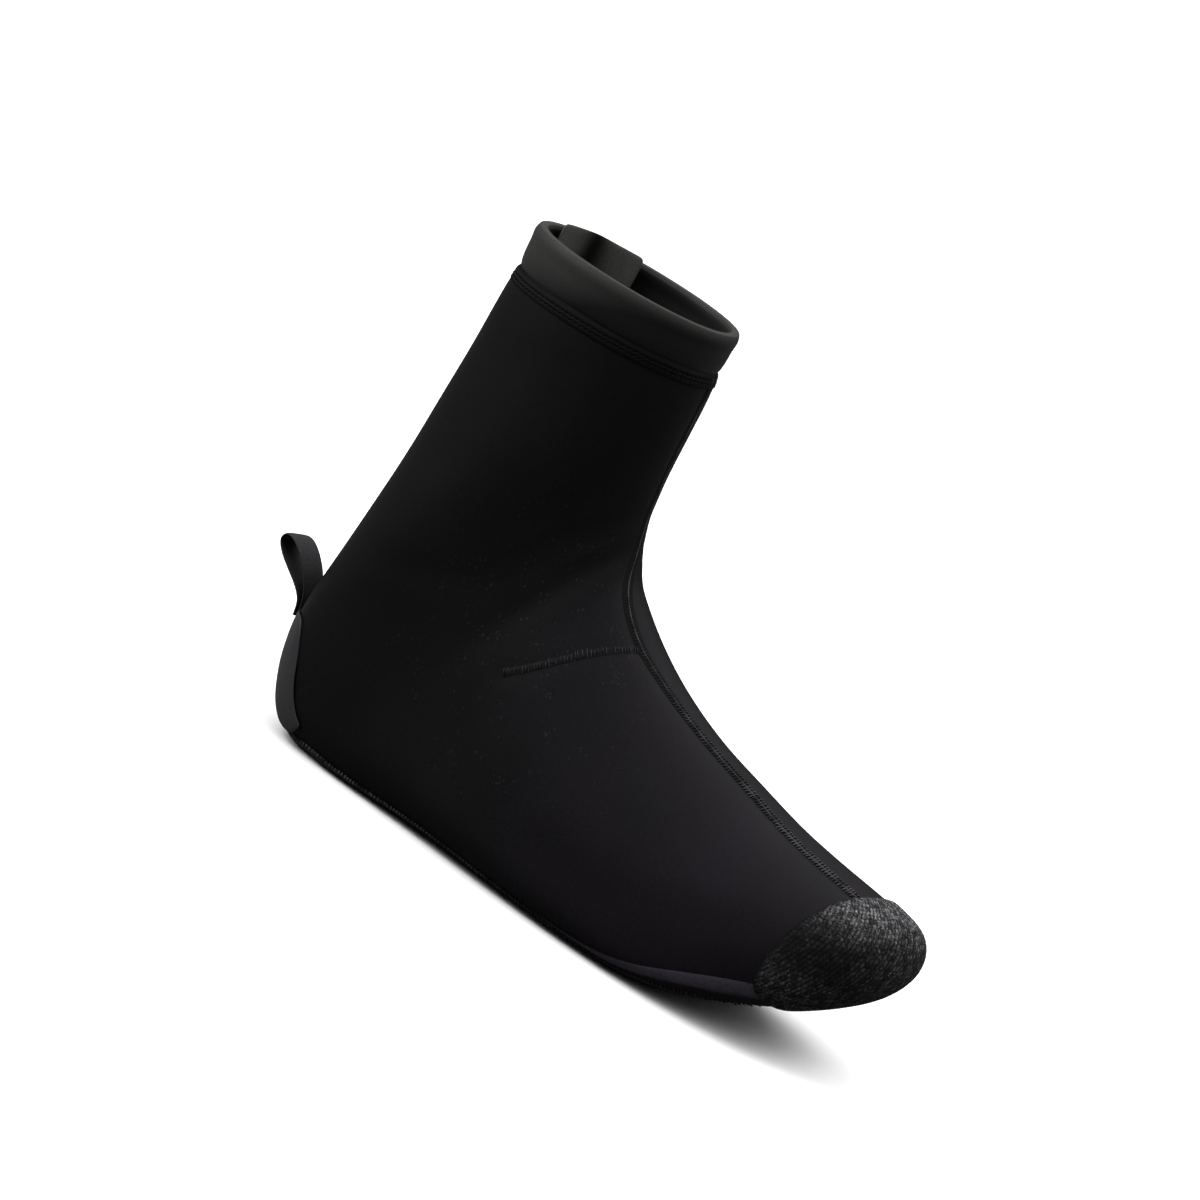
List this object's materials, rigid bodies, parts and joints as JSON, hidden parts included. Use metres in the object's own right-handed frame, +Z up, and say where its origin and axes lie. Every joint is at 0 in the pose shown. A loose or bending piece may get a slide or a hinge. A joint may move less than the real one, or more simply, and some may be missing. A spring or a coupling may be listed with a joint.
{
  "type": "cycling overshoe",
  "caption": "Ankle-high stretch overshoe for a right cycling shoe, open at the collar, with a knit toe cap, a heel panel with pull loop and a thin sole cut for cleat and heel tread.",
  "frame": {"origin": "on the floor under the middle of the whole shoe's box", "axes": "+X to the toe, +Y to the inner (left) side of the right foot, +Z up"},
  "size_m": [0.3214, 0.1058, 0.2404],
  "materials": {
    "stretch_shell": "black stretch fabric bonded to foam, faint sheen",
    "collar_tape": "charcoal knitted elastic",
    "abrasion_knit": "grey and black mixed knit, rough",
    "sole_rubber": "matt rubberised fabric",
    "heel_film": "smooth charcoal coating",
    "seam_thread": "black flat-lock thread"
  },
  "bodies": {
    "root": {"upper": "stretch_shell", "sole": "sole_rubber", "toe_cap": "abrasion_knit", "collar_band": "collar_tape", "closure_tab": "collar_tape", "heel_panel": "heel_film", "pull_loop": "collar_tape", "front_seam": "seam_thread", "ankle_dart": "seam_thread"}
  },
  "joints": []
}
